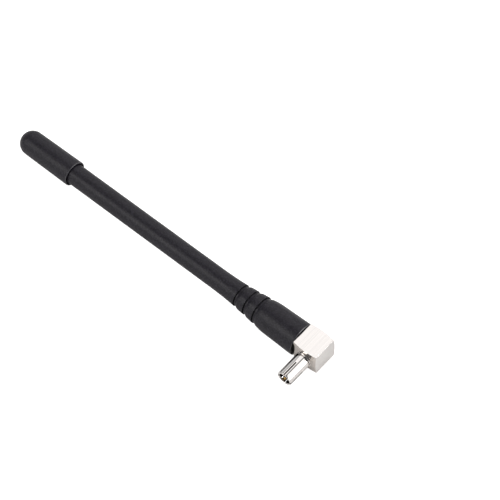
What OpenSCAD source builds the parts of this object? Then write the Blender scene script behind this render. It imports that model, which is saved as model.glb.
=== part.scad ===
// Flexible rubber whip antenna with a fixed right-angle snap-in coaxial plug.
// Origin: on the plug's axis, at the back edge of the sprung barrel.
// The plug points to -Y, the whip runs to -X, and the flat top of the elbow faces +Z.

/* [Whip] */
// Distance from the plug's axis to the rounded tip
whip_reach = 96.6; // [90:0.1:104]
// Outer diameter of the straight sleeve
sleeve_d = 5.48; // [5.2:0.02:5.8]
// Bore of the straight sleeve
sleeve_bore_d = 3.6; // [3.5:0.05:3.8]
// Distance from the plug's axis to the end of the sleeve inside the cap
sleeve_reach = 91.4; // [88:0.1:92]

/* [Strain relief] */
// Outer diameter at the moulded foot, beside the elbow
foot_d = 8.54; // [8.2:0.02:8.8]
// Air gap between the moulded foot and the elbow
foot_gap = 0.2; // [0.1:0.05:0.7]
// Radius of the rounded edge of the foot
foot_round = 0.22; // [0.1:0.02:0.4]
// Length of the foot from its end to the last groove
foot_len = 12.75; // [11:0.05:14]
// Spacing of the flex grooves
groove_pitch = 3.2; // [2.6:0.1:3.6]
// Width of a flex groove at its floor
groove_w = 0.55; // [0.4:0.05:0.8]
// Depth of a flex groove below its sharp lip
groove_depth = 0.3; // [0.2:0.02:0.36]
// Bore of the foot round the crimp
foot_bore_d = 4.6; // [4:0.1:5]

/* [Tip cap] */
// Length of the cap along the whip
cap_len = 18.2; // [15:0.1:22]
// Outer diameter at the open rim
cap_rim_d = 6.8; // [6.6:0.02:7.2]
// Outer diameter where the dome starts
cap_dome_d = 6.62; // [6.4:0.02:6.8]
// Radius of the rounded rim
cap_rim_round = 0.4; // [0.2:0.05:0.4]
// Depth of the recess inside the open rim
cap_recess = 0.8; // [0.4:0.1:1.4]

/* [Elbow] */
// Width of the elbow along the whip
elbow_w = 6.9; // [6.6:0.1:7.4]
// Height of the elbow
elbow_h = 6.95; // [6.3:0.05:7.2]
// Length of the elbow's corner edges along the plug
elbow_d = 6.27; // [6.2:0.01:6.6]
// How far the turned front face stands beyond the corners
front_rise = 0.42; // [0.2:0.02:0.5]
// How far the turned back face stands beyond the corners
back_rise = 0.64; // [0.3:0.02:0.7]
// Width of the chamfer on the long edges
edge_chamfer = 0.06; // [0.05:0.01:0.2]

/* [Plug] */
// Outer diameter of the barrel
barrel_d = 4.1; // [4.04:0.01:4.16]
// Bore of the barrel
barrel_bore_d = 3.04; // [2.96:0.01:3.4]
// Length of the barrel
barrel_len = 6.7; // [6.5:0.05:7]
// Length of the spring slots, from the mouth
slot_len = 4.35; // [4:0.05:4.6]
// Width of the spring slots
slot_w = 0.25; // [0.2:0.01:0.35]
// Diameter of the centre pin
pin_d = 0.56; // [0.5:0.02:0.7]
// Distance of the pin's end below the mouth
pin_recess = 0.2; // [0.1:0.05:0.6]

/* [Coax] */
// Diameter of the centre conductor
core_d = 0.3; // [0.24:0.02:0.32]
// Diameter of the dielectric
dielectric_d = 0.84; // [0.8:0.02:0.86]
// Outer diameter of the braid
braid_d = 1.3; // [1.2:0.02:1.34]
// Outer diameter of the jacket
jacket_d = 1.8; // [1.7:0.02:1.9]

/* [Radiator] */
// Distance from the plug's axis to the feed point
feed_at = 52; // [48:0.5:54]
// Length of the ground sleeve
ground_len = 24.6; // [20:0.1:28]
// Outer diameter of the ground sleeve
ground_d = 2.9; // [2.7:0.05:2.9]
// Diameter of the coil wire
wire_d = 0.5; // [0.4:0.05:0.5]
// Mean diameter of the coil
coil_d = 2.3; // [2.2:0.05:2.3]
// Spacing of the coil's turns
coil_pitch = 1.55; // [1.2:0.05:2]

/* [Hidden] */
$fn = 64;

// Small amount that lets a cut run past a face
over = 0.5;

// Places along the plug's axis, counted out of the mouth from the back edge of the barrel
neck_len = 0.38;
front_face = -neck_len;
front_corner = front_face - front_rise;
back_corner = front_corner - elbow_d;
back_face = back_corner - back_rise;
whip_y = -(front_corner + back_corner) / 2;
corner_r = norm([elbow_w, elbow_h]) / 2;
front_face_r = 2.8;
back_face_r = 3.1;

// Elbow's inner bores
contact_bore_r = 1.22;
cable_bore_r = 1.5;
cover_r = 2.6;
cover_t = 1;
cover_sink = 0.12;
boss_r = barrel_bore_d / 2;
boss_len = 2;
cover_seat = back_face + cover_sink + cover_t;
chamber_back = cover_seat + over;

// Contact and its insulators
pin_end = barrel_len - pin_recess;
contact_body_r = 0.6;
contact_body_front = 0.4;
contact_body_back = -2.7;
contact_neck_r = 0.46;
cup_r = 0.45;
cup_back = -whip_y - 0.75;
insulator_front = boss_len;
insulator_back = -2.3;
insulator_r = 1.2;
core_slot_w = core_d + 0.04;

// Places along the whip, counted towards the tip from the plug's axis
elbow_face = elbow_w / 2;
foot_end = elbow_face + foot_gap;
spigot_in = 1.7;
spigot_out = 9.4;
spigot_r = 0.78;
spigot_bore_r = 0.45;
crimp_braid_r = 1;
ferrule_start = elbow_face + 0.4;
ferrule_hex_end = 8.4;
ferrule_end = 12;
ferrule_bore_r = 1.02;
ferrule_r = 1.35;
ferrule_hex_af = 2.8;
jacket_start = 10.6;
jacket_end = feed_at - 2;
braid_end = feed_at - 0.5;
dielectric_end = feed_at + 0.2;
core_end = feed_at + 1.2;
ground_end = feed_at - 0.8;
ground_wall = 0.2;
ground_floor = 0.3;
ring_len = 2;
ring_at = [feed_at - 24, feed_at - 7];

// Radiator coil: a straight tail, one turn that opens out, then even turns
tail_start = core_end + 0.1;
tail_end = tail_start + 1;
coil_start = tail_end + 1.8;
coil_end = sleeve_reach - 3;
coil_turns = floor((coil_end - coil_start) / coil_pitch);
coil_steps = 16;
former_r = coil_d / 2 - wire_d / 2 - 0.06;
former_start = coil_start + 1;
former_end = sleeve_reach - 1.5;
former_pin_r = 0.48;
shrink_r = ground_d / 2 + 0.02;
shrink_t = 0.15;

// Cap
cap_rim = whip_reach - cap_len;
cap_dome_r = cap_dome_d / 2;
cap_dome_start = whip_reach - cap_dome_r;
cap_bore_r = sleeve_d / 2 + 0.03;
cap_recess_r = cap_bore_r + 0.24;
cap_floor = sleeve_reach + 0.1;

// Turns a shape that stands on +Z so that it runs out along the whip
module along_whip() translate([0, whip_y, 0]) rotate([0, -90, 0]) children();

// Turns a shape that stands on +Z so that it runs out of the plug
module along_plug() rotate([90, 0, 0]) children();

// Round bar between two heights
module bar(r, from, to) translate([0, 0, from]) cylinder(r = r, h = to - from);

// Tube between two heights
module tube(outer, inner, from, to) {
  difference() {
    bar(outer, from, to);
    bar(inner, from - over, to + over);
  }
}

// Points of an arc about [cr, cz] in the radius and height plane
function arc(cr, cz, r, from, to, steps = 8) =
  [for (i = [0:steps]) let (a = from + (to - from) * i / steps) [cr + r * cos(a), cz + r * sin(a)]];

// ---- Elbow ----

// Square bar with small chamfers on its long edges
module elbow_section() {
  x = elbow_w / 2;
  y = elbow_h / 2;
  c = edge_chamfer;
  polygon([[x - c, -y], [x, -y + c], [x, y - c], [x - c, y],
           [-x + c, y], [-x, y - c], [-x, -y + c], [-x + c, -y]]);
}

// Envelope turned about the plug's axis, which cones off the bar's corners
module turned_envelope() {
  rotate_extrude()
    polygon([[0, back_face], [back_face_r, back_face], [corner_r, back_corner],
             [corner_r + 1, back_corner], [corner_r + 1, front_corner], [corner_r, front_corner],
             [front_face_r, front_face], [0, front_face]]);
}

// Rounded collar, groove and the boss that the barrel is pressed over
module front_boss() {
  collar_r = barrel_d / 2 + 0.07;
  collar_half = 0.14;
  groove_r = barrel_d / 2 - 0.28;
  rotate_extrude()
    polygon(concat([[0, front_face - over], [collar_r - collar_half, front_face - over]],
                   arc(collar_r - collar_half, front_face + collar_half, collar_half, -30, 90, 8),
                   [[groove_r, front_face + 2 * collar_half], [groove_r - 0.03, 0], [boss_r, 0],
                    [boss_r, boss_len - 0.15], [boss_r - 0.15, boss_len], [0, boss_len]]));
}

// Plated block with its bores for contact, cover and lead
module elbow_body() {
  color("silver")
    difference() {
      union() {
        along_plug() intersection() {
          translate([0, 0, back_face - over])
            linear_extrude(height = front_face - back_face + 2 * over)
              elbow_section();
          turned_envelope();
        }
        along_plug() front_boss();
      }
      along_plug() bar(contact_bore_r, chamber_back - over, boss_len + over);
      along_plug() bar(cover_r, back_face - over, cover_seat);
      along_whip() bar(cable_bore_r, spigot_in, elbow_face + over);
      along_whip() bar(contact_bore_r, 0, spigot_in + over);
    }
}

// Disc pressed into the back of the elbow after soldering
module rear_cover() {
  rim = 0.12;
  color("silver")
    along_plug()
      rotate_extrude()
        polygon([[0, back_face + cover_sink], [cover_r - rim, back_face + cover_sink],
                 [cover_r, back_face + cover_sink + rim], [cover_r, cover_seat], [0, cover_seat]]);
}

// Disc that keeps the soldered contact off the cover
module rear_insulator() {
  color("white") along_plug() bar(insulator_r, cover_seat, cup_back - 0.15);
}

// ---- Plug ----

// Angle from a slot to the seam of the drawn tube that the barrel is made from
seam_turn = 45;

// Outline of the barrel's wall, with a rounded back edge and a mouth rounded outside and in
function barrel_wall() =
  let (back_round = 0.16, mouth_round = 0.2, inner_round = 0.25, r = barrel_d / 2)
  concat([[boss_r, 0]],
         arc(r - back_round, back_round, back_round, -90, 0, 6),
         arc(r - mouth_round, barrel_len - mouth_round, mouth_round, 0, 90, 6),
         arc(boss_r + inner_round, barrel_len - inner_round, inner_round, 90, 180, 6));

// Sprung barrel, cut into four fingers
module plug_shell() {
  color("silver")
    along_plug()
      difference() {
        rotate([0, 0, seam_turn]) rotate_extrude() polygon(barrel_wall());
        for (side = [0, 90])
          rotate([0, 0, side])
            translate([-barrel_d, -slot_w / 2, barrel_len - slot_len])
              cube([2 * barrel_d, slot_w, slot_len + over]);
      }
}

// Bead that carries the contact, stepped to hold its body
module plug_insulator() {
  color("white")
    along_plug()
      difference() {
        bar(insulator_r, insulator_back, insulator_front);
        bar(contact_body_r, insulator_back - over, contact_body_front);
        bar(contact_neck_r, contact_body_front - over, insulator_front + over);
      }
}

// Contact: round-nosed pin, neck flush with the bead, shouldered body and slotted solder cup
module contact_shape() {
  nose = 0.14;
  pin_r = pin_d / 2;
  difference() {
    rotate_extrude()
      polygon(concat([[0, cup_back], [cup_r, cup_back], [cup_r, contact_body_back],
                      [contact_body_r, contact_body_back], [contact_body_r, contact_body_front],
                      [contact_neck_r, contact_body_front], [contact_neck_r, insulator_front],
                      [pin_r, insulator_front]],
                     arc(pin_r - nose, pin_end - nose, nose, 0, 90), [[0, pin_end]]));
    translate([-1, -core_slot_w / 2, cup_back - over])
      cube([2, core_slot_w, -whip_y + core_slot_w / 2 - cup_back + over]);
  }
}

// Gold-plated contact on the plug's axis
module centre_contact() {
  color("goldenrod") along_plug() contact_shape();
}

// Solder that fills the cup's slot behind the conductor
module contact_solder() {
  color("lightgray")
    along_plug()
      difference() {
        translate([0, 0, cup_back]) intersection() {
          translate([-cup_r, -core_slot_w / 2, 0]) cube([2 * cup_r, core_slot_w, -whip_y - cup_back]);
          bar(cup_r, -over, 2);
        }
        translate([0, 0, -whip_y]) rotate([0, 90, 0]) cylinder(r = core_d / 2, h = 4, center = true);
      }
}

// ---- Cable entry ----

// Barbed tube pressed into the elbow, which the braid is laid over
module cable_spigot() {
  barb_depth = 0.06;
  barb_pitch = 0.8;
  barbs = [for (z = [elbow_face + 0.8 : barb_pitch : spigot_out - barb_pitch]) z];
  color("silver")
    along_whip()
      rotate_extrude()
        polygon(concat([[spigot_bore_r, spigot_in], [cable_bore_r, spigot_in], [cable_bore_r, elbow_face],
                        [spigot_r, elbow_face]],
                       [for (z = barbs) each [[spigot_r, z], [spigot_r - barb_depth, z + barb_pitch / 2]]],
                       [[spigot_r, spigot_out], [spigot_bore_r, spigot_out]]));
}

// Ferrule: hexagonal where it is crimped, round over the jacket
module crimp_ferrule() {
  hex_r = ferrule_hex_af / 2 / cos(30);
  color("silver")
    along_whip()
      difference() {
        union() {
          translate([0, 0, ferrule_start]) cylinder(r = hex_r, h = ferrule_hex_end - ferrule_start, $fn = 6);
          bar(ferrule_r, ferrule_hex_end - over, ferrule_end);
        }
        bar(ferrule_bore_r, ferrule_start - over, ferrule_end + over);
      }
}

// ---- Rubber whip ----

// Radius of the moulding's outside at the lip of a groove, counted from the foot
lip_r = [3.70, 3.34, 3.03];
// Radius where the shoulder beyond each groove meets the next rib
shoulder_r = [3.78, 3.48, 3.17];
// Length of that sloped shoulder
shoulder_len = 0.75;
// Length of the taper from the last lip to the plain sleeve
taper_len = 8.2;

// Side of a groove: sharp lip, floor, then a sloped shoulder towards the foot
function groove(i) = let (lip = foot_end + foot_len + i * groove_pitch, floor_r = lip_r[i] - groove_depth)
  [[shoulder_r[i], lip - groove_w - shoulder_len], [floor_r + 0.1, lip - groove_w - 0.1],
   [floor_r, lip - groove_w], [floor_r, lip], [lip_r[i], lip]];

// Smooth taper from the last lip down to the plain sleeve
function taper() = let (last = foot_end + foot_len + 2 * groove_pitch, end_r = sleeve_d / 2, steps = 10)
  [for (i = [1:steps]) let (t = i / steps)
    [end_r + (lip_r[2] - end_r) * pow(1 - t, 2.4), last + t * taper_len]];

// Rounded shoulder of the foot, from its full width down to the first groove
function foot_shoulder() =
  let (top = foot_end + 8.35, low = foot_end + foot_len - groove_w - shoulder_len, steps = 6)
  [for (i = [0:steps - 1]) let (t = i / steps)
    [4.1 - (4.1 - shoulder_r[0]) * pow(t, 2.1), top + t * (low - top)]];

function whip_outline() = concat(
  [[foot_d / 2 - foot_round - 0.02, foot_end]],
  arc(foot_d / 2 - foot_round, foot_end + foot_round, foot_round, -80, 0, 5),
  foot_shoulder(), groove(0), groove(1), groove(2), taper(),
  [[sleeve_d / 2, sleeve_reach - 0.2], [sleeve_d / 2 - 0.2, sleeve_reach]]);

// Rubber moulding: grooved foot and plain sleeve in one
module whip_sleeve() {
  bore_r = sleeve_bore_d / 2;
  foot_bore_r = foot_bore_d / 2;
  step_from = foot_end + 9;
  step_to = step_from + 2;
  color([0.16, 0.16, 0.17])
    along_whip()
      rotate_extrude()
        polygon(concat([[bore_r, sleeve_reach], [bore_r, step_to]],
                       [[foot_bore_r, step_from], [foot_bore_r, foot_end]],
                       whip_outline()));
}

// Rubber cap slipped over the sleeve's end
module tip_cap() {
  rim_r = cap_rim_d / 2;
  color([0.16, 0.16, 0.17])
    along_whip()
      rotate_extrude()
        polygon(concat(
          [[0, cap_floor], [cap_bore_r, cap_floor], [cap_bore_r, cap_rim + cap_recess],
           [cap_recess_r, cap_rim + cap_recess - 0.1], [cap_recess_r, cap_rim]],
          arc(rim_r - cap_rim_round, cap_rim + cap_rim_round, cap_rim_round, -90, 0, 6),
          arc(0, cap_dome_start, cap_dome_r, 0, 90, 16)));
}

// Adhesive that locks the foot of the whip to the crimp
module foot_adhesive() {
  color([0.85, 0.75, 0.45])
    along_whip()
      tube(foot_bore_d / 2, ferrule_hex_af / 2 / cos(30) + 0.02, ferrule_start, foot_end + 7.5);
}

// ---- Coaxial lead ----

module coax_jacket() {
  color("saddlebrown") along_whip() tube(jacket_d / 2, braid_d / 2, jacket_start, jacket_end);
}

// Braid, flared over the spigot and trimmed at the feed
module coax_braid() {
  lay_start = elbow_face + 0.7;
  inner = dielectric_d / 2;
  color("lightgray")
    along_whip()
      rotate_extrude()
        polygon([[spigot_r, lay_start], [crimp_braid_r, lay_start], [crimp_braid_r, spigot_out],
                 [braid_d / 2, jacket_start - 0.2], [braid_d / 2, braid_end], [inner, braid_end],
                 [inner, jacket_start], [spigot_r, spigot_out + 0.2]]);
}

module coax_dielectric() {
  color("white") along_whip() tube(dielectric_d / 2, core_d / 2, spigot_in, dielectric_end);
}

module coax_core() {
  color("lightgray") along_whip() bar(core_d / 2, -cup_r, core_end);
}

// ---- Radiating element ----

// Brass tube folded back over the lead, closed at the feed
module ground_sleeve() {
  outer = ground_d / 2;
  color("goldenrod")
    along_whip()
      difference() {
        bar(outer, ground_end - ground_len, ground_end);
        bar(outer - ground_wall, ground_end - ground_len - over, ground_end - ground_floor);
        bar(braid_d / 2, ground_end - ground_floor - over, ground_end + over);
      }
}

// Fillet of solder between the braid and the closed end of the ground sleeve
module sleeve_solder() {
  color("lightgray")
    along_whip()
      rotate_extrude()
        polygon([[braid_d / 2, ground_end], [braid_d / 2 + 0.4, ground_end],
                 [braid_d / 2 + 0.16, ground_end + 0.1], [braid_d / 2, braid_end]]);
}

// Rings that centre the ground sleeve in the whip
module centring_rings() {
  color("whitesmoke")
    for (z = ring_at)
      along_whip() tube(sleeve_bore_d / 2, ground_d / 2, z, z + ring_len);
}

// Solder bead that joins the conductor to the coil's tail
module feed_solder() {
  bead_r = 0.52;
  bead_at = (core_end + tail_start) / 2;
  color("lightgray")
    along_whip()
      difference() {
        translate([0, 0, bead_at]) sphere(r = bead_r);
        bar(core_d / 2, bead_at - 2, core_end);
        bar(wire_d / 2, tail_start, bead_at + 2);
      }
}

// Shrink tube over the feed joint
module feed_heat_shrink() {
  color([0.12, 0.12, 0.12])
    along_whip() tube(shrink_r + shrink_t, shrink_r, ground_end - 3, coil_start + 1.6);
}

// Centre line of the coil at step i: tail, opening turn, even turns
function coil_radius(i) = i <= 0 ? 0 : coil_d / 2 * min(1, i / coil_steps);
function coil_height(i) = i <= 0 ? tail_end + i * (tail_end - tail_start) / 2
  : i <= coil_steps ? tail_end + (coil_start - tail_end) * i / coil_steps
  : coil_start + coil_pitch * (i - coil_steps) / coil_steps;
function coil_point(i) = let (a = 360 * max(i, 0) / coil_steps)
  [coil_radius(i) * cos(a), coil_radius(i) * sin(a), coil_height(i)];
function unit(v) = v / norm(v);

// Wire swept along the coil's centre line, ring of points by ring of points
module radiator_coil() {
  sides = 8;
  first = -2;
  last = coil_steps * (coil_turns + 1);
  count = last - first + 1;
  points = [for (i = [first:last])
    let (here = coil_point(i),
         along = unit(coil_point(min(i + 1, last)) - coil_point(max(i - 1, first))),
         out = unit(cross([-sin(360 * i / coil_steps), cos(360 * i / coil_steps), 0], along)),
         up = cross(along, out))
    for (j = [0:sides - 1]) here + wire_d / 2 * (cos(360 * j / sides) * out + sin(360 * j / sides) * up)];
  walls = [for (i = [0:count - 2], j = [0:sides - 1])
    let (a = i * sides + j, b = i * sides + (j + 1) % sides)
      each [[a, b, a + sides], [b, b + sides, a + sides]]];
  color("peru")
    along_whip()
      polyhedron(points, concat(walls, [[for (j = [0:sides - 1]) sides - 1 - j]],
                                [[for (j = [0:sides - 1]) (count - 1) * sides + j]]));
}

// Rod inside the coil, with a pin for the end plug
module coil_former() {
  color("ivory")
    along_whip() {
      bar(former_r, former_start, former_end);
      bar(former_pin_r, former_end, sleeve_reach - 0.2);
    }
}

// Plug that centres the former and closes the sleeve under the cap
module coil_end_plug() {
  color("ivory")
    along_whip() tube(sleeve_bore_d / 2, former_pin_r, former_end, sleeve_reach);
}

elbow_body();
rear_cover();
rear_insulator();
plug_shell();
plug_insulator();
centre_contact();
contact_solder();
cable_spigot();
crimp_ferrule();
whip_sleeve();
tip_cap();
foot_adhesive();
coax_jacket();
coax_braid();
coax_dielectric();
coax_core();
ground_sleeve();
sleeve_solder();
centring_rings();
feed_solder();
feed_heat_shrink();
radiator_coil();
coil_former();
coil_end_plug();
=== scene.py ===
import math

import bmesh
import bpy
from mathutils import Matrix, Vector


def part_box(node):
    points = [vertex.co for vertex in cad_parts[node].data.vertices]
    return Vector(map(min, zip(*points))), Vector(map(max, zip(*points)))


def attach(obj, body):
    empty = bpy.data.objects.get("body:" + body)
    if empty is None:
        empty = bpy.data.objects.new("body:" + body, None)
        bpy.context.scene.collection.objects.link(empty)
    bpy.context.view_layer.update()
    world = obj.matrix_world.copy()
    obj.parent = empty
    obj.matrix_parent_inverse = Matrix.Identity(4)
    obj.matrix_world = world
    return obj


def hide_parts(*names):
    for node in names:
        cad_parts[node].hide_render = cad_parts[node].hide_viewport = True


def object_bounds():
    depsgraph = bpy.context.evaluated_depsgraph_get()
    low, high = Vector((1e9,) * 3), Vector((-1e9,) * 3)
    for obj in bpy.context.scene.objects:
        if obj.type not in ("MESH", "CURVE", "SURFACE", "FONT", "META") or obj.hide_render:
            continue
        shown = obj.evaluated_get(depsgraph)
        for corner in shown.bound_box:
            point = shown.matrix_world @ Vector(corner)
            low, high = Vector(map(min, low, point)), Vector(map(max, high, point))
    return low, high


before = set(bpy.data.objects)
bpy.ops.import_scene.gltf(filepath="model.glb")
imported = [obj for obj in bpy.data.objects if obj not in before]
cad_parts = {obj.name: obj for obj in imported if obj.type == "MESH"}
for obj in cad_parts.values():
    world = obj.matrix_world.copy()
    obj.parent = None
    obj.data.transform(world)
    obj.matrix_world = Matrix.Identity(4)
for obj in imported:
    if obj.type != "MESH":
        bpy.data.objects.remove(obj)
CAD_LOW, CAD_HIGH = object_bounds()

MM = 0.001
TAU = 2 * math.pi

# ---- Camera: places in millimetres ----

CAMERA_AT = (144.8, -160.1, 378.8)
CAMERA_AIM = (-29.7, 15.07, 0.0)
CAMERA_ROLL = math.radians(-4.2)
CAMERA_LENS = 134.17
CAMERA_SENSOR = 36


def make_camera():
    data = bpy.data.cameras.new("camera")
    data.sensor_width = CAMERA_SENSOR
    data.lens = CAMERA_LENS
    data.clip_start, data.clip_end = 0.02, 20
    camera = bpy.data.objects.new("camera", data)
    bpy.context.scene.collection.objects.link(camera)
    at, aim = Vector(CAMERA_AT) * MM, Vector(CAMERA_AIM) * MM
    turn = (aim - at).to_track_quat("-Z", "Y").to_matrix() @ Matrix.Rotation(CAMERA_ROLL, 3, "Z")
    camera.matrix_world = Matrix.Translation(at) @ turn.to_4x4()
    bpy.context.scene.camera = camera


make_camera()

# ---- Sizes, in millimetres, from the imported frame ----
# A height along the whip is counted from the plug's axis towards the tip. A height along the plug is
# counted from the barrel's back edge towards the mouth.


def box_mm(node):
    """Low and high corner of a CAD node's box."""
    low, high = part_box(node)
    return low / MM, high / MM


cap_low, cap_high = box_mm("tip_cap")
sleeve_low, sleeve_high = box_mm("whip_sleeve")
elbow_high = box_mm("elbow_body")[1]
shell_low, shell_high = box_mm("plug_shell")
contact_low, contact_high = box_mm("centre_contact")
insulator_low = box_mm("plug_insulator")[0]
cover_low, cover_high = box_mm("rear_cover")

WHIP_Y = (cap_low.y + cap_high.y) / 2
TIP = -cap_low.x
CAP_RIM = -cap_high.x
CAP_R = (cap_high.z - cap_low.z) / 2
FOOT_END = -sleeve_high.x
SLEEVE_END = -sleeve_low.x
FOOT_R = (sleeve_high.z - sleeve_low.z) / 2
BARREL_R = shell_high.x
MOUTH = -shell_low.y
ELBOW_X = elbow_high.x
ELBOW_Z = elbow_high.z
ELBOW_BACK = -elbow_high.y
PIN_END = -contact_low.y
CONTACT_BACK = -contact_high.y
INSULATOR_FRONT = -insulator_low.y
COVER_R = cover_high.x
COVER_OUT = -cover_high.y
COVER_IN = -cover_low.y

# ---- Smaller sizes, in millimetres, that a box doesn't give ----

# Small round on any edge that has no size of its own
EDGE_BREAK = 0.05

# Foot of the whip
FOOT_LEN = 12.75
FOOT_BORE = 2.3
FOOT_BORE_LEN = 9
BORE_CONE_LEN = 2
FOOT_ROUND = 0.22
FOOT_BELLY_R, FOOT_BELLY = 4.12, 7.45
FOOT_CURVE_R, FOOT_CURVE = 4.1, 8.35
FOOT_CURVE_POWER = 2.1

# Flex grooves: each has a lip on the tip side and a sloped shoulder on the foot side. The rounds go from
# the shoulder to the lip, and the part of the floor painted as shade lies beside the lip.
GROOVE_PITCH = 3.2
GROOVE_W = 0.55
GROOVE_DEPTH = 0.3
GROOVE_SHADE = 0.24
LIP_R = (3.70, 3.34, 3.03)
LIPS = tuple(FOOT_END + FOOT_LEN + i * GROOVE_PITCH for i in range(len(LIP_R)))
SHOULDER_R = (3.78, 3.48, 3.17)
SHOULDER_LEN = 0.75
SHOULDER_RAISE = 0.1
GROOVE_ROUNDS = (0.6, 0.1, 0, 0, 0.03, 0.05)

# Sleeve, taper and cap
SLEEVE_R = 2.74
SLEEVE_BORE = 1.8
SLEEVE_ROUND = 0.2
TAPER_LEN = 8.2
TAPER_POWER = 2.4
CAP_DOME_R = 3.31
CAP_BORE = 2.77
CAP_BORE_GAP = 0.1
CAP_RECESS_R = 3.01
CAP_RECESS = 0.8
CAP_RECESS_CHAMFER = 0.1
CAP_ROUND = 0.34
CAP_STRAIGHT = 3
CAP_DRAFT = 0.02
RING_GAP = 0.9

# Elbow: outside its face radius each end is a shallow cone, so that the corners are set back by the rise
NECK = 0.38
FRONT_RISE, FRONT_FACE_R = 0.42, 2.8
BACK_RISE, BACK_FACE_R = 0.45, 2.3
CORNER_R = math.hypot(ELBOW_X, ELBOW_Z)
EDGE_ROUND = 0.02
RIM_ROUND = 0.025
SEAT_CHAMFER = EDGE_BREAK
COLLAR_R = BARREL_R + 0.07
COLLAR_ROUND = 0.14
BOSS_BACK_R, BOSS_FRONT_R = BARREL_R - 0.28, BARREL_R - 0.31
BOSS_END = 1.85
BOSS_CHAMFER = 0.15
CONTACT_BORE = 1.22

# Barrel: the bore is painted dark as shade, but stays bright near the mouth, where it flares
BARREL_BORE = 1.52
SLOT_LEN = 4.35
SLOT_W = 0.25
SLOT_BREAK = 0.05
BACK_ROUND = 0.16
MOUTH_ROUND = 0.2
BORE_ROUND = 0.25
BORE_ROUND_END = 0.6
BRIGHT_BORE = 1.05
TUBE_RINGS = (0.9, 1.6)
FINGER_RINGS = 1.1

# Centre contact
CUP_R = 0.45
SHANK_R = 0.6
SHANK_BACK, SHANK_FRONT = -2.7, 0.4
WAIST_R = 0.46
PIN_R = 0.28
PIN_ROUND = 0.14

# Rear cover: its middle is pressed in a little
DISH_DEPTH = 0.03
DISH_R, DISH_RIM_R = 0.9, 1.1
DISH_ROUND = 0.1
COVER_ROUND = 0.12

# ---- Mesh helpers ----

NEARLY_STRAIGHT = math.radians(88)
LARGEST_CUT = 0.45
TINY = 1e-6
# Faces are told apart by where their middles lie, with this margin
FACE_MARGIN = 0.01


def rounded(points, radii, steps=5):
    """Outline in (radius, height) with each inner corner replaced by an arc of its own radius. An arc
    takes up less than half of the shorter side beside it."""
    out = [points[0]]
    for i in range(1, len(points) - 1):
        a, b, c = (Vector(points[i + k]) for k in (-1, 0, 1))
        r = radii[i]
        u, v = a - b, c - b
        lu, lv = u.length, v.length
        if r <= 0 or lu < TINY or lv < TINY:
            out.append(points[i])
            continue
        u, v = u / lu, v / lv
        half = math.acos(max(-1, min(1, u.dot(v)))) / 2
        if half > NEARLY_STRAIGHT:
            out.append(points[i])
            continue
        cut = min(r / math.tan(half), LARGEST_CUT * lu, LARGEST_CUT * lv)
        r = cut * math.tan(half)
        centre = b + (u + v).normalized() * (r / math.sin(half))
        start, end = b + u * cut - centre, b + v * cut - centre
        turn = start.angle_signed(end)
        for k in range(steps + 1):
            p = centre + Matrix.Rotation(-turn * k / steps, 2) @ start
            out.append((p.x, p.y))
    out.append(points[-1])
    return out


def arc(cr, ch, r, start, end, steps):
    """Points of an arc in (radius, height); angles in degrees."""
    angles = [math.radians(start + (end - start) * k / steps) for k in range(steps + 1)]
    return [(cr + r * math.cos(a), ch + r * math.sin(a)) for a in angles]


def refine(points, longest):
    """Splits long spans, so that rings are no further apart than longest."""
    out = [points[0]]
    for a, b in zip(points, points[1:]):
        n = max(1, math.ceil(math.dist(a, b) / longest))
        out += [(a[0] + (b[0] - a[0]) * k / n, a[1] + (b[1] - a[1]) * k / n) for k in range(1, n + 1)]
    return out


def fractions(steps, *near):
    """Fractions of a length: even steps, and a few close to both ends, which keep a flat's shading flat."""
    return (*near, *(i / steps for i in range(1, steps)), *(1 - t for t in reversed(near)))


def whip_point(r, h, angle):
    return Vector((-h, WHIP_Y + r * math.cos(angle), r * math.sin(angle))) * MM


def plug_point(r, h, angle):
    return Vector((r * math.cos(angle), -h, r * math.sin(angle))) * MM


def finish_mesh(name, bm, material, replaces, sharp=40):
    """Makes the object, rides it on the body, and hides the CAD nodes that it replaces."""
    bmesh.ops.remove_doubles(bm, verts=bm.verts, dist=1e-7)
    bmesh.ops.recalc_face_normals(bm, faces=bm.faces)
    mesh = bpy.data.meshes.new(name)
    bm.to_mesh(mesh)
    bm.free()
    mesh.materials.append(material)
    mesh.shade_smooth()
    mesh.set_sharp_from_angle(angle=math.radians(sharp))
    piece = bpy.data.objects.new(name, mesh)
    bpy.context.scene.collection.objects.link(piece)
    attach(piece, "root")
    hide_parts(*replaces)
    return piece


def lathe(outline, place, segments, closed=False, shift=None):
    """Turned shape. outline is (radius, height); an end at radius 0 closes to a point, and a closed
    outline returns to its start. shift(radius, height, angle) may change a point's radius a little."""
    bm = bmesh.new()
    rings = []
    for r, h in outline:
        if r < TINY:
            rings.append([bm.verts.new(place(0, h, 0))])
            continue
        ring = []
        for k in range(segments):
            angle = TAU * k / segments
            ring.append(bm.verts.new(place(shift(r, h, angle) if shift else r, h, angle)))
        rings.append(ring)
    pairs = list(zip(rings, rings[1:]))
    if closed:
        pairs.append((rings[-1], rings[0]))
    for low, high in pairs:
        for k in range(segments):
            n = (k + 1) % segments
            corners = [low[k % len(low)], low[n % len(low)], high[n % len(high)], high[k % len(high)]]
            bm.faces.new(list(dict.fromkeys(corners)))
    return bm


# ---- Materials ----


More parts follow.
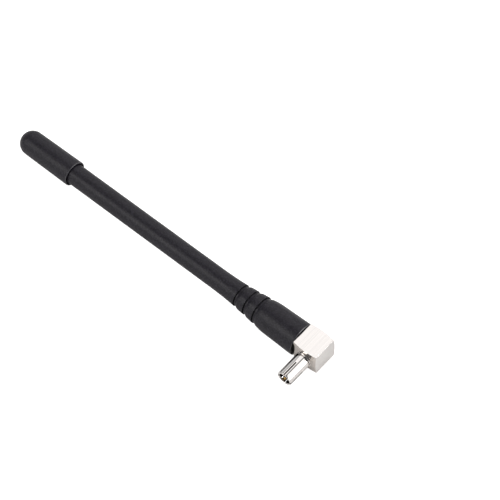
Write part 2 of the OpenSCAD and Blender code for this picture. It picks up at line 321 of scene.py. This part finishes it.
class Nodes:
    """A small helper that builds one node material round a Principled shader. Its places are in
    millimetres of the object's own frame."""

    def __init__(self, name, **values):
        self.material = bpy.data.materials.new(name)
        self.material.use_nodes = True
        self.tree = self.material.node_tree
        self.shader = self.tree.nodes["Principled BSDF"]
        for socket, value in values.items():
            self.shader.inputs[socket.replace("_", " ")].default_value = value
        self.bump_in = None
        coords = self.tree.nodes.new("ShaderNodeTexCoord")
        scale = self.tree.nodes.new("ShaderNodeVectorMath")
        scale.operation = "SCALE"
        scale.inputs["Scale"].default_value = 1 / MM
        self.tree.links.new(coords.outputs["Object"], scale.inputs[0])
        self.mm = scale.outputs[0]

    def node(self, kind, links, **values):
        """A node with its links and values. A value named set_x is a property, not a socket."""
        n = self.tree.nodes.new(kind)
        for key, value in values.items():
            if key.startswith("set_"):
                setattr(n, key[4:], value)
            else:
                n.inputs[key.replace("_", " ")].default_value = value
        for socket, source in links.items():
            self.tree.links.new(source, n.inputs[socket])
        return n

    def stretched(self, factors, turn=(0, 0, 0)):
        n = self.node("ShaderNodeMapping", {"Vector": self.mm}, Scale=factors, Rotation=turn)
        return n.outputs[0]

    def noise(self, scale, detail=3, rough=0.6, vector=None):
        n = self.node("ShaderNodeTexNoise", {"Vector": vector or self.mm}, Scale=scale, Detail=detail,
                      Roughness=rough)
        return n.outputs["Fac"]

    def ramp(self, source, stops):
        n = self.node("ShaderNodeValToRGB", {"Fac": source})
        for element, (at, colour) in zip(n.color_ramp.elements, stops):
            element.position = at
            element.color = (*colour, 1)
        return n.outputs["Color"]

    def spread(self, source, low, high, at=(0.3, 0.7)):
        """Maps the range at to the range from low to high."""
        n = self.node("ShaderNodeMapRange", {"Value": source}, From_Min=at[0], From_Max=at[1],
                      To_Min=low, To_Max=high)
        return n.outputs["Result"]

    def maths(self, operation, a, b):
        n = self.node("ShaderNodeMath", {}, set_operation=operation)
        for socket, value in zip(n.inputs, (a, b)):
            if isinstance(value, (int, float)):
                socket.default_value = value
            else:
                self.tree.links.new(value, socket)
        return n.outputs[0]

    def mix(self, factor, a, b):
        n = self.node("ShaderNodeMix", {0: factor}, set_data_type="RGBA")
        for index, value in ((6, a), (7, b)):
            if isinstance(value, tuple):
                n.inputs[index].default_value = (*value, 1)
            else:
                self.tree.links.new(value, n.inputs[index])
        return n.outputs[2]

    def link(self, source, socket):
        self.tree.links.new(source, self.shader.inputs[socket])

    def bump(self, source, depth_mm, strength=1.0):
        n = self.node("ShaderNodeBump", {"Height": source}, Strength=strength, Distance=depth_mm * MM)
        if self.bump_in:
            self.tree.links.new(self.bump_in, n.inputs["Normal"])
        self.bump_in = n.outputs[0]
        self.link(self.bump_in, "Normal")


def times(factor, colour):
    return tuple(factor * c for c in colour)


def rubber_material(name, gloss, dark, light):
    """Moulded rubber: fine grain from the mould, cloudiness, pale specks, and convex edges painted paler
    and glossier, partly as wear and partly as painted highlight.
    """
    m = Nodes(name, IOR=1.5, Specular_IOR_Level=gloss)
    cloud = m.noise(0.35, detail=4)
    grain = m.noise(9, rough=0.7)
    coarse = m.noise(2.4)
    colour = m.ramp(cloud, [(0.3, dark), (0.7, light)])
    colour = m.mix(m.spread(coarse, 0, 0.75, at=(0.44, 0.68)), colour, times(2.2, light))
    # Convex edges, found by pointiness, get a paler colour and more gloss: partly wear, partly painted
    # highlight
    geometry = m.node("ShaderNodeNewGeometry", {})
    edge_wear_and_highlight = m.spread(geometry.outputs["Pointiness"], 0, 0.55, at=(0.515, 0.58))
    edge_wear_and_highlight = m.maths("MULTIPLY", edge_wear_and_highlight, m.spread(m.noise(2.2), 0.3, 1))
    colour = m.mix(edge_wear_and_highlight, colour, RUBBER_WEAR_AND_HIGHLIGHT)
    speck = m.spread(m.noise(3, detail=2, rough=0.5), 0, 0.6, at=(0.50, 0.64))
    m.link(m.mix(speck, colour, RUBBER_SPECK), "Base Color")
    matt = m.maths("ADD", m.spread(cloud, 0.38, 0.44), m.spread(grain, -0.05, 0.05))
    m.link(m.maths("SUBTRACT", matt, m.maths("MULTIPLY", edge_wear_and_highlight, 0.3)), "Roughness")
    m.bump(grain, 0.012, 0.7)
    m.bump(coarse, 0.1, 0.7)
    return m.material


def nickel_material(name, rough, tint, line_factors, line_depth):
    """Plated or drawn metal: tool marks in one direction, and faint haze."""
    m = Nodes(name, Metallic=1.0)
    lines = m.noise(1, detail=5, rough=0.65, vector=m.stretched(line_factors))
    haze = m.noise(0.9, detail=4)
    m.link(m.mix(m.spread(lines, 0, 1, at=(0.4, 0.6)), times(0.93, tint), tint), "Base Color")
    haze_rough = m.spread(haze, rough - 0.02, rough + 0.03)
    m.link(m.maths("ADD", haze_rough, m.spread(lines, -0.03, 0.04)), "Roughness")
    m.bump(lines, line_depth, 0.8)
    return m.material


def turned_material(name, rough, tint, scale, depth):
    """Metal turned about the plug's axis: fine rings, and haze."""
    m = Nodes(name, Metallic=1.0)
    rings = m.noise(1, vector=m.stretched((0.02, scale, 0.02)))
    haze = m.noise(1.3, detail=4)
    m.link(m.mix(m.spread(haze, 0, 1), times(0.9, tint), tint), "Base Color")
    haze_rough = m.spread(haze, rough - 0.02, rough + 0.04)
    m.link(m.maths("ADD", haze_rough, m.spread(rings, -0.02, 0.02)), "Roughness")
    m.bump(rings, depth, 0.6)
    return m.material


def faced_material(name, rough, tint, scale, depth):
    """Metal faced on the lathe: fine rings round the plug's axis, and haze."""
    m = Nodes(name, Metallic=1.0)
    flat = m.node("ShaderNodeVectorMath", {0: m.mm}, set_operation="MULTIPLY")
    flat.inputs[1].default_value = (1, 0, 1)
    radius = m.node("ShaderNodeVectorMath", {0: flat.outputs[0]}, set_operation="LENGTH").outputs["Value"]
    across = m.node("ShaderNodeCombineXYZ", {"X": radius}).outputs[0]
    rings = m.noise(scale, detail=4, vector=across)
    haze = m.noise(1.1, detail=4)
    m.link(m.mix(m.spread(rings, 0, 1), times(0.9, tint), tint), "Base Color")
    haze_rough = m.spread(haze, rough - 0.02, rough + 0.04)
    m.link(m.maths("ADD", haze_rough, m.spread(rings, -0.02, 0.03)), "Roughness")
    m.bump(rings, depth, 0.6)
    return m.material


def plain_material(name, colour, darker, rough, grain, depth, **values):
    """Plastic, solder and other small parts: cloudy colour, uneven gloss and grain."""
    m = Nodes(name, **values)
    cloud = m.noise(0.8, detail=4)
    fine = m.noise(grain, rough=0.65)
    m.link(m.mix(m.spread(cloud, 0, 1), darker, colour), "Base Color")
    cloud_rough = m.spread(cloud, rough - 0.05, rough + 0.05)
    m.link(m.maths("ADD", cloud_rough, m.spread(fine, -0.04, 0.04)), "Roughness")
    m.bump(fine, depth, 0.6)
    return m.material


def braid_material(name, dark, light, lean):
    """Fine tinned strands woven in two directions round the lead."""
    m = Nodes(name, Metallic=1.0)
    strands = []
    for turn in (lean, -lean):
        vector = m.stretched((1, 1, 1), turn=(0, 0, turn))
        wave = m.node("ShaderNodeTexWave", {"Vector": vector}, Scale=5, Distortion=0.6)
        strands.append(wave.outputs["Fac"])
    weave = m.maths("MAXIMUM", *strands)
    m.link(m.ramp(weave, [(0.2, dark), (0.8, light)]), "Base Color")
    m.link(m.spread(m.noise(3), 0.25, 0.42), "Roughness")
    m.bump(weave, 0.05)
    return m.material


def floor_material(name, glow):
    """Plain pale paper. With glow it is lit from below, as a light table is, and stays an even white."""
    m = Nodes(name, Specular_IOR_Level=0.0, Emission_Strength=glow, Emission_Color=(1, 1, 1, 1))
    fibre = m.noise(2)
    m.link(m.ramp(fibre, [(0.3, FLOOR_DARK), (0.7, FLOOR_LIGHT)]), "Base Color")
    m.link(m.spread(fibre, 0.8, 0.95), "Roughness")
    return m.material


# Paler colour for convex rubber edges: partly wear, partly painted highlight
RUBBER_WEAR_AND_HIGHLIGHT = (0.060, 0.058, 0.064)
RUBBER_SPECK = (0.030, 0.0275, 0.037)
FLOOR_DARK = (0.92, 0.915, 0.91)
FLOOR_LIGHT = (0.95, 0.945, 0.94)
NICKEL = (0.78, 0.755, 0.735)

rubber = rubber_material("moulded_rubber", gloss=0.27, dark=(0.0064, 0.0056, 0.0088),
                         light=(0.0090, 0.0079, 0.0120))
# Near-black, less glossy rubber: painted shade in the grooves and on the foot's end
shaded_rubber = rubber_material("shaded_rubber", gloss=0.06, dark=(0.002, 0.002, 0.0022),
                                light=(0.003, 0.003, 0.0033))
# Paler, glossier rubber for the rounded rims of the foot and cap: a painted highlight
rim_highlight_rubber = rubber_material("rim_highlight_rubber", gloss=0.85, dark=(0.028, 0.027, 0.031),
                                light=(0.042, 0.040, 0.046))
brushed_nickel = nickel_material("brushed_nickel", rough=0.16, tint=NICKEL, line_factors=(3.2, 0.03, 3.2),
                                 line_depth=0.002)
crimp_nickel = nickel_material("crimp_nickel", rough=0.3, tint=NICKEL, line_factors=(1.2, 5, 5),
                               line_depth=0.006)
brass = nickel_material("drawn_brass", rough=0.28, tint=(0.80, 0.62, 0.32), line_factors=(0.3, 8, 8),
                        line_depth=0.006)
bronze = nickel_material("bronze_wire", rough=0.25, tint=(0.76, 0.45, 0.24), line_factors=(6, 3, 3),
                         line_depth=0.006)
barrel_nickel = turned_material("turned_nickel", rough=0.05, tint=NICKEL, scale=14, depth=0.0002)
# Near-black metal: painted shade in the groove in front of the elbow's collar
groove_shade_nickel = turned_material("groove_shade_nickel", rough=0.5, tint=(0.02, 0.013, 0.01), scale=9, depth=0.004)
# Dark metal: painted shade deep in the barrel's bore
bore_shade_nickel = turned_material("bore_shade_nickel", rough=0.22, tint=(0.13, 0.10, 0.08), scale=5, depth=0.003)
# Near-black metal: painted shade on the sides of the barrel's slots
slot_shade_nickel = turned_material("slot_shade_nickel", rough=0.5, tint=(0.016, 0.010, 0.008), scale=9, depth=0.004)
mouth_nickel = turned_material("mouth_nickel", rough=0.1, tint=NICKEL, scale=9, depth=0.001)
cover_nickel = turned_material("cover_nickel", rough=0.2, tint=NICKEL, scale=4, depth=0.004)
gold = turned_material("gold_plate", rough=0.2, tint=(0.80, 0.50, 0.16), scale=18, depth=0.002)
faced_nickel = faced_material("faced_nickel", rough=0.13, tint=(0.69, 0.64, 0.60), scale=7, depth=0.001)
braid = braid_material("tinned_braid", dark=(0.30, 0.28, 0.26), light=(0.72, 0.70, 0.67), lean=0.6)
ptfe = plain_material("ptfe", (0.82, 0.82, 0.80), (0.70, 0.70, 0.69), rough=0.42, grain=14, depth=0.006,
                      Subsurface_Weight=0.2)
solder = plain_material("solder", (0.70, 0.70, 0.71), (0.5, 0.5, 0.51), rough=0.3, grain=5, depth=0.02,
                        Metallic=1.0)
adhesive = plain_material("adhesive", (0.42, 0.27, 0.09), (0.25, 0.15, 0.05), rough=0.3, grain=4,
                          depth=0.03, Coat_Weight=0.4)
jacket = plain_material("cable_jacket", (0.20, 0.09, 0.035), (0.13, 0.055, 0.02), rough=0.3, grain=8,
                        depth=0.01, Coat_Weight=0.2)
ring_plastic = plain_material("ring_plastic", (0.78, 0.78, 0.76), (0.66, 0.66, 0.64), rough=0.55, grain=7,
                              depth=0.02)
shrink = plain_material("shrink_tube", (0.022, 0.022, 0.022), (0.013, 0.013, 0.013), rough=0.5, grain=4,
                        depth=0.03)
nylon = plain_material("nylon", (0.72, 0.68, 0.56), (0.62, 0.58, 0.47), rough=0.45, grain=9, depth=0.012,
                       Subsurface_Weight=0.15)

# ---- Inner pieces: the CAD nodes themselves, each with a material of its own kind ----

CARRIED_OVER = {
    "plug_insulator": ptfe,
    "rear_insulator": ptfe,
    "coax_dielectric": ptfe,
    "contact_solder": solder,
    "sleeve_solder": solder,
    "feed_solder": solder,
    "foot_adhesive": adhesive,
    "coax_jacket": jacket,
    "coax_braid": braid,
    "coax_core": braid,
    "ground_sleeve": brass,
    "centring_rings": ring_plastic,
    "feed_heat_shrink": shrink,
    "radiator_coil": bronze,
    "coil_former": nylon,
    "coil_end_plug": nylon,
    "cable_spigot": crimp_nickel,
    "crimp_ferrule": crimp_nickel,
}
for node_name, material in CARRIED_OVER.items():
    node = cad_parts[node_name]
    node.data.materials.clear()
    node.data.materials.append(material)

# ---- Rubber whip ----

SEAM_HEIGHT, SEAM_HALF, SEAM_MARGIN = 0.022, 0.018, 0.02
RUBBER_SEGMENTS = 192
# Widths of the painted highlight on the rims of the foot and cap
FOOT_HIGHLIGHT_WIDTH, CAP_HIGHLIGHT_WIDTH = 0.16, 0.15
CURVE_STEPS, TAPER_STEPS, DOME_STEPS = 7, 10, 28
# Painted shade reaches a little past a lip's wall and the foot's end, and stops near their edges
LIP_SHADE, LIP_SHADE_EDGE = 0.02, 0.05
END_SHADE, END_SHADE_EDGE = 0.03, 0.06


def seam(r, h, angle):
    """Parting line of the two mould halves, a fine raised line on both sides of the whip."""
    away = abs(math.sin(angle))
    raised = SEAM_HEIGHT * max(0.0, 1 - away / SEAM_HALF)
    return min(r + raised, max(r, FOOT_R - SEAM_MARGIN))


def whip_outline():
    """Foot, three grooves, taper and sleeve outside, then the bore back to the foot."""
    points = [(FOOT_BORE, FOOT_END), (FOOT_R, FOOT_END), (FOOT_BELLY_R, FOOT_END + FOOT_BELLY)]
    radii = [0, FOOT_ROUND, 0]
    start, end = FOOT_END + FOOT_CURVE, LIPS[0] - GROOVE_W - SHOULDER_LEN
    for i in range(CURVE_STEPS):
        t = i / CURVE_STEPS
        r = FOOT_CURVE_R - (FOOT_CURVE_R - SHOULDER_R[0]) * t ** FOOT_CURVE_POWER
        points.append((r, start + t * (end - start)))
        radii.append(0)
    for lip, lip_r, shoulder_r in zip(LIPS, LIP_R, SHOULDER_R):
        floor_r = lip_r - GROOVE_DEPTH
        wall = lip - GROOVE_W
        points += [(shoulder_r, wall - SHOULDER_LEN), (floor_r + SHOULDER_RAISE, wall - SHOULDER_RAISE),
                   (floor_r, wall), (floor_r, lip - GROOVE_SHADE), (floor_r, lip), (lip_r, lip)]
        radii += GROOVE_ROUNDS
    for i in range(1, TAPER_STEPS + 1):
        t = i / TAPER_STEPS
        r = SLEEVE_R + (LIP_R[2] - SLEEVE_R) * (1 - t) ** TAPER_POWER
        points.append((r, LIPS[2] + t * TAPER_LEN))
        radii.append(0)
    points += [(SLEEVE_R, SLEEVE_END), (SLEEVE_BORE, SLEEVE_END)]
    radii += [SLEEVE_ROUND, 0]
    step = FOOT_END + FOOT_BORE_LEN
    bore = [(SLEEVE_BORE, step + BORE_CONE_LEN), (FOOT_BORE, step)]
    return refine(rounded(points, radii), RING_GAP) + bore


def cap_outline():
    """From the end of the bore out to the recess, round the rim and up to the dome."""
    bore_end, recess_end = SLEEVE_END + CAP_BORE_GAP, CAP_RIM + CAP_RECESS
    points = [(0, bore_end), (CAP_BORE, bore_end), (CAP_BORE, recess_end),
              (CAP_RECESS_R, recess_end - CAP_RECESS_CHAMFER), (CAP_RECESS_R, CAP_RIM), (CAP_R, CAP_RIM),
              (CAP_R - CAP_DRAFT, CAP_RIM + CAP_STRAIGHT), (CAP_DOME_R, TIP - CAP_DOME_R)]
    outline = rounded(points, [0, 0, EDGE_BREAK, EDGE_BREAK, EDGE_BREAK, CAP_ROUND, 0, 0], 6)
    dome = arc(0, TIP - CAP_DOME_R, CAP_DOME_R, 0, 90, DOME_STEPS)
    return refine(outline, RING_GAP) + dome[1:-1] + [(0, TIP)]


def whip_place(face):
    """Distance from the whip's axis, and height along it, of the middle of a face."""
    r = math.hypot(face.center.y / MM - WHIP_Y, face.center.z / MM)
    return r, -face.center.x / MM


def paint_groove_shade(piece):
    """The lips' walls with the floor beside them, and the foot's flat end, are painted darker and less
    glossy as shade.
    """
    piece.data.materials.append(shaded_rubber)
    for face in piece.data.polygons:
        r, h = whip_place(face)
        in_groove = any(lip - GROOVE_SHADE < h < lip + LIP_SHADE and r < lip_r - LIP_SHADE_EDGE
                        for lip, lip_r in zip(LIPS, LIP_R))
        on_end = h < FOOT_END + END_SHADE and r < FOOT_R - FOOT_ROUND + END_SHADE_EDGE
        if in_groove or on_end:
            face.material_index = 1


def paint_rim_highlight(piece, rim, outer_r, width):
    """The rounded rim of a moulding is painted paler and glossier, as a painted highlight."""
    slot = len(piece.data.materials)
    piece.data.materials.append(rim_highlight_rubber)
    for face in piece.data.polygons:
        r, h = whip_place(face)
        if rim + FACE_MARGIN < h < rim + width and r > outer_r - width:
            face.material_index = slot


whip_mesh = lathe(whip_outline(), whip_point, RUBBER_SEGMENTS, closed=True, shift=seam)
whip = finish_mesh("whip_rubber", whip_mesh, rubber, ["whip_sleeve"])
paint_groove_shade(whip)
paint_rim_highlight(whip, FOOT_END, FOOT_R, FOOT_HIGHLIGHT_WIDTH)
cap_mesh = lathe(cap_outline(), whip_point, RUBBER_SEGMENTS, shift=seam)
cap = finish_mesh("tip_cap_rubber", cap_mesh, rubber, ["tip_cap"])
paint_rim_highlight(cap, CAP_RIM, CAP_R, CAP_HIGHLIGHT_WIDTH)

# ---- Elbow ----

CORNERS = ((1, 1), (-1, 1), (-1, -1), (1, -1))
SIDE_STEPS, CORNER_STEPS, LENGTH_STEPS, ROUND_STEPS = 14, 6, 12, 4
COLLAR_SLOT, FACED_SLOT, GROOVE_SHADE_SLOT = 1, 2, 3
# The groove's painted shade ends a little inside the barrel's radius, and the collar's material a little
# outside its own
GROOVE_INSIDE, COLLAR_OUTSIDE = 0.05, 0.03
FACING_BACK_OR_FRONT = 0.9


def front_height(r):
    return -NECK - FRONT_RISE * max(0.0, r - FRONT_FACE_R) / (CORNER_R - FRONT_FACE_R)


def back_height(r):
    return ELBOW_BACK + BACK_RISE * max(0.0, r - BACK_FACE_R) / (CORNER_R - BACK_FACE_R)


def elbow_section(inset=0.0):
    """Points (x, z) round the square section with rounded long edges."""
    points = []
    x, z, r = ELBOW_X - inset, ELBOW_Z - inset, EDGE_ROUND
    for k, (sx, sz) in enumerate(CORNERS):
        for i in range(CORNER_STEPS):
            a = math.radians(90 * k + 90 * i / (CORNER_STEPS - 1))
            points.append((sx * (x - r) + r * math.cos(a), sz * (z - r) + r * math.sin(a)))
        next_x, next_z = CORNERS[(k + 1) % 4]
        a = math.radians(90 * (k + 1))
        start = points[-1]
        end = (next_x * (x - r) + r * math.cos(a), next_z * (z - r) + r * math.sin(a))
        for t in fractions(SIDE_STEPS, 0.004, 0.012):
            points.append((start[0] + (end[0] - start[0]) * t, start[1] + (end[1] - start[1]) * t))
    return points


def round_row(section, r, h):
    """The section's points moved in to a circle, at one height."""
    return [(r * x / math.hypot(x, z), r * z / math.hypot(x, z), h) for x, z in section]


def cone_row(section, centre_r, t, height):
    """Points on a turned end, the part t of the way from the circle centre_r out to the section."""
    row = []
    for x, z in section:
        d = math.hypot(x, z)
        r = centre_r + (d - centre_r) * t
        row.append((x * r / d, z * r / d, height(r)))
    return row


def edge_rows(section, inner, height, sign):
    """Quarter round between a turned end and the flats."""
    rows = []
    for i in range(1, ROUND_STEPS + 1):
        a = math.radians(90 * i / ROUND_STEPS)
        row = []
        for (x, z), (ix, iz) in zip(section, inner):
            edge = height(math.hypot(ix, iz))
            row.append((ix + (x - ix) * math.sin(a), iz + (z - iz) * math.sin(a),
                        edge + sign * RIM_ROUND * (1 - math.cos(a))))
        rows.append(row)
    return rows


def elbow_mesh():
    """Square bar whose ends are turned to shallow cones, every edge rounded, with collar and boss in front
    and the cover's seat behind."""
    section, inner = elbow_section(), elbow_section(RIM_ROUND)
    # back: from the cover's seat out to the edge
    seat_r = COVER_R + SEAT_CHAMFER
    seat = ((COVER_R, COVER_IN), (COVER_R, ELBOW_BACK + SEAT_CHAMFER), (seat_r, ELBOW_BACK))
    rows = [round_row(section, r, h) for r, h in seat]
    rows += [cone_row(inner, seat_r, t, back_height) for t in (0.02, 0.35, 0.7, 0.98, 1.0)]
    # rounded edge, flats, rounded edge
    back_edge = edge_rows(section, inner, back_height, 1)
    front_edge = edge_rows(section, inner, front_height, -1)
    rows += back_edge
    for t in fractions(LENGTH_STEPS, 0.004):
        rows.append([(bx, bz, bh + (fh - bh) * t)
                     for (bx, bz, bh), (_, _, fh) in zip(back_edge[-1], front_edge[-1])])
    rows += reversed(front_edge)
    # front face in to the collar
    collar_foot = COLLAR_R - COLLAR_ROUND * 0.1
    rows += [cone_row(inner, collar_foot, t, front_height) for t in (0.98, 0.75, 0.5, 0.25, 0.02, 0.0)]
    # collar, groove, boss inside the barrel, and the contact's bore back to the chamber
    turned = arc(COLLAR_R - COLLAR_ROUND, -NECK + COLLAR_ROUND, COLLAR_ROUND, -25, 90, 8)
    turned += [(BOSS_BACK_R, -NECK + 2 * COLLAR_ROUND), (BOSS_FRONT_R, 0), (BARREL_BORE, 0),
               (BARREL_BORE, BOSS_END), (BARREL_BORE - BOSS_CHAMFER, BOSS_END + BOSS_CHAMFER),
               (CONTACT_BORE, BOSS_END + BOSS_CHAMFER), (CONTACT_BORE, COVER_IN)]
    rows += [round_row(section, r, h) for r, h in turned]
    bm = bmesh.new()
    rings = [[bm.verts.new(Vector((x, -h, z)) * MM) for x, z, h in row] for row in rows]
    rings.append(rings[0])
    for low, high in zip(rings, rings[1:]):
        for k in range(len(section)):
            n = (k + 1) % len(section)
            bm.faces.new((low[k], low[n], high[n], high[k]))
    return bm


def assign_elbow_materials(piece):
    """The collar is as bright as the barrel, the groove in front of it is painted near black as shade, and
    the ends are faced.
    """
    for material in (barrel_nickel, faced_nickel, groove_shade_nickel):
        piece.data.materials.append(material)
    groove_back = NECK - 2 * COLLAR_ROUND
    for face in piece.data.polygons:
        out, along = math.hypot(face.center.x, face.center.z) / MM, face.center.y / MM
        if -FACE_MARGIN < along < groove_back + FACE_MARGIN and out < BARREL_R - GROOVE_INSIDE:
            face.material_index = GROOVE_SHADE_SLOT
        elif along < NECK - FACE_MARGIN and out < COLLAR_R + COLLAR_OUTSIDE:
            face.material_index = COLLAR_SLOT
        elif abs(face.normal.y) > FACING_BACK_OR_FRONT:
            face.material_index = FACED_SLOT


elbow = finish_mesh("elbow_block", elbow_mesh(), brushed_nickel, ["elbow_body"], sharp=30)
assign_elbow_materials(elbow)

# ---- Barrel ----

SLOT_AT = MOUTH - SLOT_LEN
FINGER_STEPS = 14
BORE_SHADE_SLOT, SLOT_SHADE_SLOT, MOUTH_SLOT = 1, 2, 3
# Half the width of the strip painted as shade along a slot, and how deep into the wall the bright outside
# reaches
SLOT_SHADE_HALF = SLOT_W / 2 + 0.045
OUTSIDE_DEPTH = MOUTH_ROUND + 0.03


def shell_loop():
    """Closed outline of the barrel's wall. Also says between which two of its points the slots run."""
    finger = [SLOT_AT + k * FINGER_RINGS for k in range(4)]
    loop = arc(BARREL_R - BACK_ROUND, BACK_ROUND, BACK_ROUND, -90, 0, 6)
    loop += [(BARREL_R, h) for h in (*TUBE_RINGS, *finger)]
    split = len(loop) - len(finger)
    loop += arc(BARREL_R - MOUTH_ROUND, MOUTH - MOUTH_ROUND, MOUTH_ROUND, 0, 90, 8)
    loop += arc(BARREL_BORE + BORE_ROUND, MOUTH - BORE_ROUND, BORE_ROUND, 90, 180, 6)
    loop += [(BARREL_BORE, MOUTH - BORE_ROUND_END), (BARREL_BORE, MOUTH - BRIGHT_BORE)]
    loop += [(BARREL_BORE, h) for h in reversed(finger[:3])]
    join = len(loop) - 1
    loop += [(BARREL_BORE, h) for h in (*reversed(TUBE_RINGS), 0.0)]
    return loop, split, join


def assign_barrel_materials(bm):
    """The bore and the sides of the slots are painted dark as shade; the bore near the mouth stays bright.
    """
    wall = BARREL_R - BARREL_BORE - FACE_MARGIN
    for face in bm.faces:
        middle = face.calc_center_median()
        depth = BARREL_R - math.hypot(middle.x, middle.z) / MM
        across = min(abs(middle.x), abs(middle.z)) / MM
        if middle.y < -SLOT_AT * MM and across < SLOT_SHADE_HALF and depth < wall:
            face.material_index = SLOT_SHADE_SLOT
        elif depth > wall and middle.y > -(MOUTH - BRIGHT_BORE) * MM:
            face.material_index = BORE_SHADE_SLOT
        elif depth > OUTSIDE_DEPTH:
            face.material_index = MOUTH_SLOT


def shell_mesh():
    """Sprung barrel: one tube behind, four fingers in front, rounded at both ends."""
    loop, split, join = shell_loop()
    bm = bmesh.new()
    columns = []
    for quarter in range(4):
        for i in range(FINGER_STEPS + 1):
            column = []
            for r, h in loop:
                edge = math.asin(SLOT_W / 2 / r)
                a = quarter * TAU / 4 + edge + (TAU / 4 - 2 * edge) * i / FINGER_STEPS
                column.append(bm.verts.new(plug_point(r, h, a)))
            columns.append((column, i == FINGER_STEPS))
    for k, (column, last) in enumerate(columns):
        after = columns[(k + 1) % len(columns)][0]
        for j in range(len(loop)):
            m = (j + 1) % len(loop)
            if last and split <= j < join:
                continue
            bm.faces.new((column[j], after[j], after[m], column[m]))
        if last:
            # end wall of the slot, and its two sides
            bm.faces.new((column[split], after[split], after[join], column[join]))
            for side in (column, after):
                bm.faces.new([side[j] for j in range(split, join + 1)])
    bmesh.ops.recalc_face_normals(bm, faces=bm.faces)
    sharp = [e for e in bm.edges if len(e.link_faces) == 2 and e.calc_face_angle() > math.radians(50)
             and min(v.co.y for v in e.verts) < -SLOT_AT * MM + 1e-7]
    bmesh.ops.bevel(bm, geom=sharp, offset=SLOT_BREAK * MM, segments=2, profile=0.5, affect="EDGES",
                    clamp_overlap=True)
    assign_barrel_materials(bm)
    return bm


barrel = finish_mesh("plug_barrel", shell_mesh(), barrel_nickel, ["plug_shell"], sharp=35)
for material in (bore_shade_nickel, slot_shade_nickel, mouth_nickel):
    barrel.data.materials.append(material)

# ---- Contact and cover ----

PIN_SEGMENTS, COVER_SEGMENTS = 48, 96


def contact_outline():
    points = [(0, CONTACT_BACK), (CUP_R, CONTACT_BACK), (CUP_R, SHANK_BACK), (SHANK_R, SHANK_BACK),
              (SHANK_R, SHANK_FRONT), (WAIST_R, SHANK_FRONT), (WAIST_R, INSULATOR_FRONT),
              (PIN_R, INSULATOR_FRONT), (PIN_R, PIN_END), (0, PIN_END)]
    radii = [0, EDGE_BREAK, 0, EDGE_BREAK, EDGE_BREAK, 0, EDGE_BREAK, 0.03, PIN_ROUND, 0]
    return rounded(points, radii, 6)


def cover_outline():
    points = [(0, COVER_OUT + DISH_DEPTH), (DISH_R, COVER_OUT + DISH_DEPTH), (DISH_RIM_R, COVER_OUT),
              (COVER_R, COVER_OUT), (COVER_R, COVER_IN), (0, COVER_IN)]
    return rounded(points, [0, DISH_ROUND, DISH_ROUND, COVER_ROUND, 0, 0])


contact_mesh = lathe(contact_outline(), plug_point, PIN_SEGMENTS)
finish_mesh("contact_pin", contact_mesh, gold, ["centre_contact"])
cover_mesh = lathe(cover_outline(), plug_point, COVER_SEGMENTS)
finish_mesh("rear_cover_disc", cover_mesh, cover_nickel, ["rear_cover"])

# ---- Floor and lights, in metres ----

FLOOR_SIZE = 6.0
FLOOR_GLOW, TABLE_GLOW = 0.8, 0.03
TABLE_DROP = 0.05 * MM
BANK_FACING = (0, 0.75, 0.66)
WORLD_COLOUR = (0.98, 0.99, 1.0, 1)
WORLD_STRENGTH = 0.2


def make_floor(name, drop, material):
    bm = bmesh.new()
    half = FLOOR_SIZE / 2
    z = CAD_LOW.z - drop
    bm.faces.new([bm.verts.new((x * half, y * half, z)) for x, y in ((-1, -1), (1, -1), (1, 1), (-1, 1))])
    mesh = bpy.data.meshes.new(name)
    bm.to_mesh(mesh)
    bm.free()
    mesh.materials.append(material)
    floor = bpy.data.objects.new(name, mesh)
    bpy.context.scene.collection.objects.link(floor)
    return floor


def softbox(name, at, size, radiance, colour=(1, 1, 1), facing=None):
    """Area light at a place counted from the middle of the object, with the given brightness as seen
    from it. It faces the object, or away from the direction given."""
    data = bpy.data.lights.new(name, "AREA")
    data.shape = "RECTANGLE"
    data.size, data.size_y = size
    data.energy = radiance * math.pi * size[0] * size[1]
    data.color = colour
    light = bpy.data.objects.new(name, data)
    bpy.context.scene.collection.objects.link(light)
    light.location = (CAD_LOW + CAD_HIGH) / 2 + Vector(at)
    light.rotation_mode = "QUATERNION"
    light.rotation_quaternion = Vector(facing or at).to_track_quat("Z", "Y")
    light.visible_camera = False


# The camera sees the paper. Light and reflections come from the table, just below it.
paper = make_floor("paper", 0.0, floor_material("white_paper", FLOOR_GLOW))
paper.visible_diffuse = paper.visible_glossy = paper.visible_shadow = paper.visible_transmission = False
table = make_floor("table", TABLE_DROP, floor_material("pale_table", TABLE_GLOW))
table.visible_camera = False

softbox("key", (-0.31, -0.62, 0.57), (0.8, 0.42), 3.6, (1.0, 0.985, 0.97))
softbox("low_front", (-0.32, -0.84, 0.08), (0.8, 0.45), 0.8, (0.97, 0.98, 1.0))
softbox("left", (-0.837, 0.383, 0.37), (0.5, 0.53), 0.56)
softbox("bank_left", (-0.37, 0.573, 0.784), (0.91, 1.34), 1.11, (1.0, 0.98, 0.975), BANK_FACING)
softbox("bank_right", (1.3, 0.744, 0.591), (1.93, 1.235), 1.28, (1.0, 0.985, 0.97), BANK_FACING)
softbox("right_low", (0.82, 0.35, 0.15), (0.6, 0.29), 1.8)
softbox("rim", (0.77, 0.345, 0.305), (0.32, 0.32), 10.5, (1.0, 0.99, 0.98))

world = bpy.data.worlds.new("studio")
world.use_nodes = True
background = world.node_tree.nodes["Background"]
background.inputs["Color"].default_value = WORLD_COLOUR
background.inputs["Strength"].default_value = WORLD_STRENGTH
bpy.context.scene.world = world
bpy.context.scene.view_settings.view_transform = "Standard"
bpy.context.scene.view_settings.look = "None"
